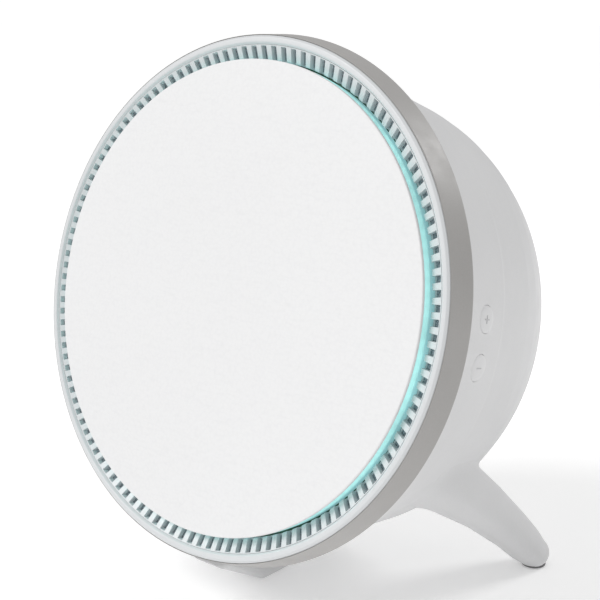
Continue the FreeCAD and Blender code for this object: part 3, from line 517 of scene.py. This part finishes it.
M = {
    "leatherette": leather("leatherette", (0.775, 0.775, 0.778)),
    "white": moulded("white_plastic", (0.645, 0.66, 0.67), 0.38, grain_bump=0.05, var=0.015, edge_highlight=0.05),
    "band": moulded("band_grey", (0.375, 0.365, 0.355), 0.40, grain=1800.0, grain_bump=0.12, var=0.05, edge_highlight=0.10),
    "housing": moulded("housing_grey", (0.655, 0.655, 0.66), 0.50, grain=1500.0, grain_bump=0.10, var=0.025, edge_highlight=0.06),
    "button": moulded("button_grey", (0.68, 0.68, 0.685), 0.46, grain=1500.0, grain_bump=0.08, var=0.02, edge_highlight=0.08),
    "glow": glow("light_cyan", (0.46, 0.86, 0.84), 0.46),
    "milky": glow("guide_flange", (0.38, 0.68, 0.70), 0.50),
    "mark": moulded("button_mark", (0.50, 0.50, 0.51), 0.55, grain_bump=0.03, var=0.02, edge_highlight=0.05),
    "mesh": cloth("vent_mesh", (0.42, 0.45, 0.49), 1500.0),
    "black": moulded("black_plastic", (0.030, 0.030, 0.033), 0.5, var=0.12, edge_highlight=0.05),
    "rubber": moulded("soft_rubber", (0.16, 0.16, 0.162), 0.75, grain=900.0, grain_bump=0.2, var=0.15, edge_highlight=0.04, spec=0.3),
    "cone": cloth("cone_paper", (0.05, 0.05, 0.055), 700.0, 0.85, 0.35),
    "foam": cloth("foam_grey", (0.10, 0.10, 0.11), 500.0, 0.95, 0.9),
    "spider": cloth("spider_cloth", (0.50, 0.38, 0.18), 1300.0, 0.85, 0.5),
    "steel": metal("steel", (0.60, 0.60, 0.61), 0.32),
    "ferrite": moulded("ferrite", (0.07, 0.07, 0.075), 0.55, grain=700.0, grain_bump=0.2, var=0.2),
    "copper": metal("coil_copper", (0.72, 0.33, 0.16), 0.3, stretch=(60.0, 60.0, 3000.0)),
    "alu": metal("sink_metal", (0.72, 0.72, 0.74), 0.35),
    "lamp": moulded("lamp_white", (0.75, 0.74, 0.68), 0.35, var=0.05),
    "board": circuit("board_green"),
}
SLOT_MAT = {
    "white_plastic": "white", "leatherette": "leatherette", "band_grey": "band", "housing_grey": "housing",
    "light_cyan": "glow", "board_green": "board", "black_plastic": "black", "steel": "steel", "ferrite": "ferrite",
    "cone_paper": "cone", "soft_rubber": "rubber", "coil_copper": "copper", "spider_cloth": "spider",
    "foam_grey": "foam", "sink_metal": "alu", "lamp_white": "lamp", "mesh_grey": "mesh"}
slot_of = {s["node"]: s["material_slot"] for s in frame["record"]["subparts"]}
for node, ob in NODES.items():
    mat = M[SLOT_MAT[slot_of[node]]]
    ob.data.materials.clear()
    ob.data.materials.append(mat)

# ------------------------------------------------------------------ drum rings
def weighted(ob):
    w = ob.modifiers.new("weighted", "WEIGHTED_NORMAL")
    w.keep_sharp = True
    w.weight = 60
    return ob


def join(name, obs, body="speaker"):
    """Several closed meshes kept as one piece."""
    bm = bmesh.new()
    mats = []
    for ob in obs:
        n0 = len(bm.faces)
        bm.from_mesh(ob.data)
        bm.faces.ensure_lookup_table()
        m = ob.data.materials[0]
        if m not in mats:
            mats.append(m)
        for f in bm.faces[n0:]:
            f.material_index = mats.index(m)
    me = bpy.data.meshes.new(name)
    bm.to_mesh(me)
    bm.free()
    for m in mats:
        me.materials.append(m)
    for ob in obs:
        old = ob.data
        bpy.data.objects.remove(ob)
        bpy.data.meshes.remove(old)
    ob = bpy.data.objects.new(name, me)
    SC.collection.objects.link(ob)
    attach(ob, body)
    return ob


cover = weighted(lathe("disc_cover", rounded(
    [(0, 1.4), (60, 1.4), (90.66, 1.4), (90.66, 0.1), (89.66, 0.1), (89.36, 0.4), (0, 0.4)],
    [0, 0, 0.75, 0.2, 0, 0, 0], 7), M["leatherette"], body="speaker"))
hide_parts("front_disc_cover")

guide = weighted(lathe("light_guide", rounded(
    [(90.46, 0.0), (90.46, -3.2), (89.96, -4.4), (89.96, -7.4), (87.6, -7.4), (87.6, 0.0)],
    [0.15, 0.4, 0.4, 0.2, 0.2, 0.1], 4), M["glow"]))
guide.data.materials.append(M["milky"])
for f in guide.data.polygons:
    c = f.center
    if -(c.y * 1000 - CY) * CL + (c.z * 1000 - CZ) * SL < -3.45:
        f.material_index = 1
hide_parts("light_guide_ring")

rim = weighted(lathe("rim_ring", rounded(
    [(96.6, -0.95), (97.4, 0.0), (99.0, 0.0), (100.0, -0.75), (100.0, -3.2), (98.4, -3.2), (98.4, -9.8),
     (97.5, -9.8), (97.5, -4.3), (96.6, -4.3)],
    [0.35, 0.9, 0.9, 0.7, 0.1, 0.1, 0.1, 0.1, 0.1, 0.2], 6), M["white"]))
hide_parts("front_rim")

band = weighted(lathe("hoop", rounded(
    [(100.12, -0.7), (100.38, -1.0), (102.7, -11.0), (102.2, -11.4), (98.85, -11.4), (98.85, -10.1),
     (98.5, -10.1), (98.5, -3.3), (100.12, -3.3)],
    [0.1, 0.25, 0.35, 0.3, 0.1, 0, 0, 0, 0], 5), M["band"]))
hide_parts("outer_band")

# ------------------------------------------------------------------ slotted ring
def slope(r):
    """Top face of the slotted ring."""
    return -0.9 - (96.5 - r) * 0.4608 if r > 91.4 else -3.25 - (91.4 - r) * 1.375


def slot_ribs(count=120):
    """Straight ribs with crisp, slightly eased edges, closed one by one."""
    verts, faces = [], []
    rr = [96.25, 95.0, 93.7, 92.5, 91.5, 91.15, 91.02, 91.0]
    for i in range(count):
        a0 = 2 * math.pi * (i + 0.5) / count
        ca, sa = math.cos(a0), math.sin(a0)
        base = len(verts)
        for r in rr:
            top = slope(r)
            if r == 91.0:
                top -= 0.3
            w = math.pi * r / count - 1.25
            e = 0.13
            bot = top - 2.25 if r > 91.8 else -5.6
            sec = [(-w, bot), (-w, top - e), (-w + e * 0.35, top - e * 0.3), (-w + e, top), (w - e, top), (w - e * 0.35, top - e * 0.3),
                   (w, top - e), (w, bot)]
            for t, z in sec:
                verts.append((r * ca - t * sa, r * sa + t * ca, z))
        k = 8
        for q in range(len(rr) - 1):
            for j in range(k):
                j2 = (j + 1) % k
                a, b = base + q * k + j, base + q * k + j2
                faces.append((a, b, b + k, a + k))
        faces.append(tuple(base + j for j in range(k))[::-1])
        faces.append(tuple(base + (len(rr) - 1) * k + j for j in range(k)))
    return verts, faces


sv, sf = slot_ribs()
ribs_only = new_object("ribs_only", place(sv), sf, M["white"], body=None)
land = lathe("land", rounded([(96.1, slope(96.1)), (96.5, slope(96.5)), (96.5, -4.35), (97.4, -4.4), (97.4, -7.6), (96.2, -7.6), (96.2, -3.6), (96.1, -3.5)],
                             [0.12, 0.05, 0, 0, 0.1, 0.1, 0, 0], 3), M["white"], body=None, seg=360)
lip = lathe("lip", rounded([(91.8, -5.5), (91.0, -5.5), (91.0, -6.8), (91.8, -6.8)], [0.05, 0.15, 0.1, 0.1], 3),
            M["white"], body=None, seg=360)
ribs = join("slotted_ring", [ribs_only, land, lip])
bm = bmesh.new()
bm.from_mesh(ribs.data)
bmesh.ops.recalc_face_normals(bm, faces=bm.faces)
for ed in bm.edges:
    if len(ed.link_faces) == 2 and ed.calc_face_angle(0) > math.radians(40):
        ed.smooth = False
bm.to_mesh(ribs.data)
bm.free()
weighted(ribs)
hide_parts("slotted_vent_ring")

gauze = weighted(lathe("vent_gauze", rounded([(96.15, -3.3), (91.85, -5.5), (91.85, -6.1), (96.15, -3.95)],
                                             [0.05, 0.05, 0.05, 0.05], 2), M["mesh"], seg=360))
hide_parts("vent_mesh_ring")

# ------------------------------------------------------------------ housing
shell = lathe("shell", OUTLINE, M["housing"], body=None, seg=360)
SOLE = -119.35
SKIN = 0.035


def right_leg(p):
    """Leg with a soft blend below and a tighter one above, on a backing inside the wall."""
    d = drum_field(p)
    g = leg_field(p)
    v = (p - np.array([66.5, 56.5, -75.5])) @ UPWARD
    u = smin(d, g, np.interp(v, [-13.0, 5.0], [4.2, 2.4]))
    u = np.maximum(u, SOLE - p[..., 2])
    return np.maximum(np.maximum(np.maximum(u + SKIN, -(d + 2.3)), g - 9.0), drum_coords(p)[1] + 30.0)


def mid_leg(p):
    d = drum_field(p)
    g = front_field(p)
    u = smin(d, g, 4.0)
    u = np.maximum(u, SOLE - p[..., 2])
    return np.maximum(np.maximum(np.maximum(u + SKIN, -(d + 2.3)), g - 6.0), drum_coords(p)[1] + 14.0)


H = 1.15
leg_r, lv = moulding("leg_r", right_leg, (20, -16, -121.2), (100, 114, -28), H, M["housing"], body=None)
leg_l_me = leg_r.data.copy()
for v in leg_l_me.vertices:
    v.co.x = -v.co.x
leg_l_me.flip_normals()
leg_l = bpy.data.objects.new("leg_l", leg_l_me)
leg_f, _ = moulding("leg_f", mid_leg, (-24, -24, -121.2), (24, 70, -74), H, M["housing"], body=None)


def radial_frame(deg, dist, depth):
    """Matrix columns x (round the drum), y (towards the front), z (outwards), and the place, in the drum frame."""
    t = math.radians(deg)
    zx = np.array([math.cos(t), math.sin(t), 0.0])
    return np.array([-math.sin(t), math.cos(t), 0.0]), np.array([0.0, 0.0, 1.0]), zx, dist * zx + np.array([0, 0, -depth])


def turned_at(name, outline, fr, mat, seg=96, body=None):
    """Closed turned form about a radial axis; outline of (r, height), first and last on the axis."""
    ex, ey, ez, o = fr
    verts, faces, rows = [], [], []
    for r, h in outline:
        if r < 1e-6:
            rows.append([len(verts)])
            verts.append(o + ez * h)
        else:
            rows.append(list(range(len(verts), len(verts) + seg)))
            for k in range(seg):
                t = 2 * math.pi * k / seg
                verts.append(o + ex * r * math.cos(t) + ey * r * math.sin(t) + ez * h)
    for a, b in zip(rows, rows[1:]):
        for k in range(seg):
            k2 = (k + 1) % seg
            if len(a) == 1:
                faces.append((a[0], b[k], b[k2]))
            elif len(b) == 1:
                faces.append((a[k], b[0], a[k2]))
            else:
                faces.append((a[k], b[k], b[k2], a[k2]))
    ob = new_object(name, place(np.array(verts)), faces, mat, body=body)
    bm = bmesh.new()
    bm.from_mesh(ob.data)
    bmesh.ops.recalc_face_normals(bm, faces=bm.faces)
    bm.to_mesh(ob.data)
    bm.free()
    return ob


def applied(ob):
    """Bake an object's modifiers into its mesh."""
    dg = bpy.context.evaluated_depsgraph_get()
    me = bpy.data.meshes.new_from_object(ob.evaluated_get(dg), preserve_all_data_layers=True, depsgraph=dg)
    ob.modifiers.clear()
    ob.data = me
    return ob


BUT_R = 97.0 - 2.7 * (33.0 - 11.0) / (48.0 - 11.0)
cutters = []
for deg in (4.7, -5.8):
    fr = radial_frame(deg, BUT_R, 33.0)
    c = turned_at("cut", [(0, 3.0), (5.15, 3.0), (5.15, -6.0), (0, -6.0)], fr, M["housing"], seg=96)
    m = shell.modifiers.new("cut", "BOOLEAN")
    m.operation = "DIFFERENCE"
    m.solver = "EXACT"
    m.object = c
    cutters.append(c)
bpy.context.view_layer.update()
applied(shell)
for c in cutters:
    me = c.data
    bpy.data.objects.remove(c)
    bpy.data.meshes.remove(me)
housing = join("housing_moulding", [shell, leg_r, leg_l, leg_f])
bm = bmesh.new()
bm.from_mesh(housing.data)
for ed in bm.edges:
    if len(ed.link_faces) == 2 and ed.calc_face_angle(0) > math.radians(42):
        ed.smooth = False
bm.to_mesh(housing.data)
bm.free()
housing.data.polygons.foreach_set("use_smooth", [True] * len(housing.data.polygons))
weighted(housing)
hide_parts("rear_housing", "stand_legs")


def relief(name, boxes, fr, h0, h1, mat, body):
    """Small raised bars with eased tops; boxes are (cx, cy, half x, half y)."""
    ex, ey, ez, o = fr
    verts, faces = [], []
    for cx, cy, hx, hy in boxes:
        base = len(verts)
        for inset, h in ((0.0, h0), (0.0, h1 - 0.08), (0.10, h1)):
            for sx, sy in ((-1, -1), (1, -1), (1, 1), (-1, 1)):
                verts.append(o + ex * (cx + sx * (hx - inset)) + ey * (cy + sy * (hy - inset)) + ez * h)
        faces.append((base + 3, base + 2, base + 1, base))
        for lv_ in (0, 4):
            for k in range(4):
                k2 = (k + 1) % 4
                faces.append((base + lv_ + k, base + lv_ + k2, base + lv_ + 4 + k2, base + lv_ + 4 + k))
        faces.append((base + 8, base + 9, base + 10, base + 11))
    return new_object(name, place(np.array(verts)), faces, mat, smooth=False, body=body)


CAP = [(0, 0.34), (1.5, 0.33), (3.0, 0.28), (4.1, 0.18), (4.7, 0.05), (4.95, -0.10), (5.07, -0.32), (5.07, -3.6), (6.0, -3.6), (6.0, -4.6),
       (1.5, -4.6), (1.5, -6.0), (0, -6.0)]
for deg, node, body, boxes in (
        (4.7, "volume_up_button", "volume_up", [(0, 0, 0.24, 1.5), (0.87, 0, 0.63, 0.24), (-0.87, 0, 0.63, 0.24)]),
        (-5.8, "volume_down_button", "volume_down", [(0, 0, 0.24, 1.5)])):
    fr = radial_frame(deg, BUT_R, 33.0)
    cap = turned_at(body + "_cap", CAP, fr, M["button"], body=None)
    sign = relief(body + "_sign", boxes, fr, 0.22, 0.50, M["mark"], None)
    both = join(body + "_key", [cap, sign], body=body)
    both.data.polygons.foreach_set("use_smooth", [True] * len(both.data.polygons))
    bm = bmesh.new()
    bm.from_mesh(both.data)
    for ed in bm.edges:
        if len(ed.link_faces) == 2 and ed.calc_face_angle(0) > math.radians(40):
            ed.smooth = False
    bm.to_mesh(both.data)
    bm.free()
    weighted(both)
    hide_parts(node)

# ------------------------------------------------------------------ foot pads
pads = []
for px, py in ((84.0, 97.6), (-84.0, 97.6), (0.0, 22.5)):
    pts = rounded([(0, 0.0), (5.0, 0.0), (5.0, 2.5), (0, 2.5)], [0, 0.5, 0.3, 0], 5)
    seg = 72
    verts, rows = [], []
    for r, z in pts:
        if r < 1e-6:
            rows.append([len(verts)])
            verts.append((px, py + CY, z))
        else:
            rows.append(list(range(len(verts), len(verts) + seg)))
            verts += [(px + r * math.cos(2 * math.pi * k / seg), py + CY + r * math.sin(2 * math.pi * k / seg), z) for k in range(seg)]
    faces = []
    for a_, b_ in zip(rows, rows[1:]):
        for k in range(seg):
            k2 = (k + 1) % seg
            if len(a_) == 1 and len(b_) == 1:
                continue
            if len(a_) == 1:
                faces.append((a_[0], b_[k2], b_[k]))
            elif len(b_) == 1:
                faces.append((a_[k], a_[k2], b_[0]))
            else:
                faces.append((a_[k], a_[k2], b_[k2], b_[k]))
    pads.append(new_object("pad", np.array(verts) / 1000.0, faces, M["rubber"], body=None))
pads = weighted(join("rubber_pads", pads))
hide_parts("foot_pads")

# ------------------------------------------------------------------ stage
def plane(name, size, z, mat):
    me = bpy.data.meshes.new(name)
    h = size / 2
    me.from_pydata([(-h, -h, z), (h, -h, z), (h, h, z), (-h, h, z)], [], [(0, 1, 2, 3)])
    ob = bpy.data.objects.new(name, me)
    SC.collection.objects.link(ob)
    me.materials.append(mat)
    return ob


fm, fnt, fbs, ftc = nodes_of("floor_pale")
fn = tex(fnt, "ShaderNodeTexNoise", ftc, 3.0, Detail=2.0)
fnt.links.new(ramp(fnt, fn.outputs["Fac"], [(0.3, (0.895, 0.895, 0.895)), (0.7, (0.905, 0.905, 0.905))]), fbs.inputs["Base Color"])
fbs.inputs["Roughness"].default_value = 0.9
fbs.inputs["Specular IOR Level"].default_value = 0.05
fbs.inputs["Emission Color"].default_value = (1.0, 1.0, 1.0, 1.0)
fbs.inputs["Emission Strength"].default_value = 0.25
floor = plane("floor", 80.0, -0.0002, fm)

world = bpy.data.worlds.new("world")
SC.world = world
world.use_nodes = True
wn = world.node_tree
bg = wn.nodes["Background"]
bg.inputs["Color"].default_value = (1.0, 1.0, 1.0, 1.0)
bg.inputs["Strength"].default_value = 0.50
bg2 = wn.nodes.new("ShaderNodeBackground")
bg2.inputs["Color"].default_value = (1.0, 1.0, 1.0, 1.0)
bg2.inputs["Strength"].default_value = 1.05
lp = wn.nodes.new("ShaderNodeLightPath")
mx = wn.nodes.new("ShaderNodeMixShader")
wn.links.new(lp.outputs["Is Camera Ray"], mx.inputs[0])
wn.links.new(bg.outputs[0], mx.inputs[1])
wn.links.new(bg2.outputs[0], mx.inputs[2])
wn.links.new(mx.outputs[0], wn.nodes["World Output"].inputs["Surface"])


def sun(name, direction, strength, angle):
    li = bpy.data.lights.new(name, "SUN")
    li.energy = strength
    li.angle = math.radians(angle)
    ob = bpy.data.objects.new(name, li)
    SC.collection.objects.link(ob)
    ob.rotation_mode = "QUATERNION"
    ob.rotation_quaternion = Vector(direction).to_track_quat("-Z", "Y")
    return ob


def area(name, loc, target, size, power, size_y=None, col=(1, 1, 1)):
    li = bpy.data.lights.new(name, "AREA")
    li.energy = power
    li.size = size
    if size_y:
        li.shape = "RECTANGLE"
        li.size_y = size_y
    li.color = col
    ob = bpy.data.objects.new(name, li)
    SC.collection.objects.link(ob)
    ob.location = loc
    ob.rotation_mode = "QUATERNION"
    ob.rotation_quaternion = (Vector(target) - Vector(loc)).to_track_quat("-Z", "Y")
    return ob


sun("key", (0.46, 0.62, -0.66), 1.75, 30.0)
area("top_back", (0.55, 0.95, 1.0), (0, 0, 0.12), 0.5, 5.0)

SC.view_settings.view_transform = "Standard"
SC.view_settings.look = "None"

# ------------------------------------------------------------------ camera
cam_d = bpy.data.cameras.new("cam")
cam = bpy.data.objects.new("cam", cam_d)
SC.collection.objects.link(cam)
SC.camera = cam
cam_d.sensor_width = 36.0
cam_d.lens = 72.0
cam_d.clip_start = 0.01
cam_d.clip_end = 50.0
cam.location = (0.3083, -0.3221 + CY / 1000, 0.1034 + CZ / 1000)
cam.rotation_mode = "QUATERNION"
cam.rotation_quaternion = Vector((-0.6259, 0.7454, -0.2292)).to_track_quat("-Z", "Y")
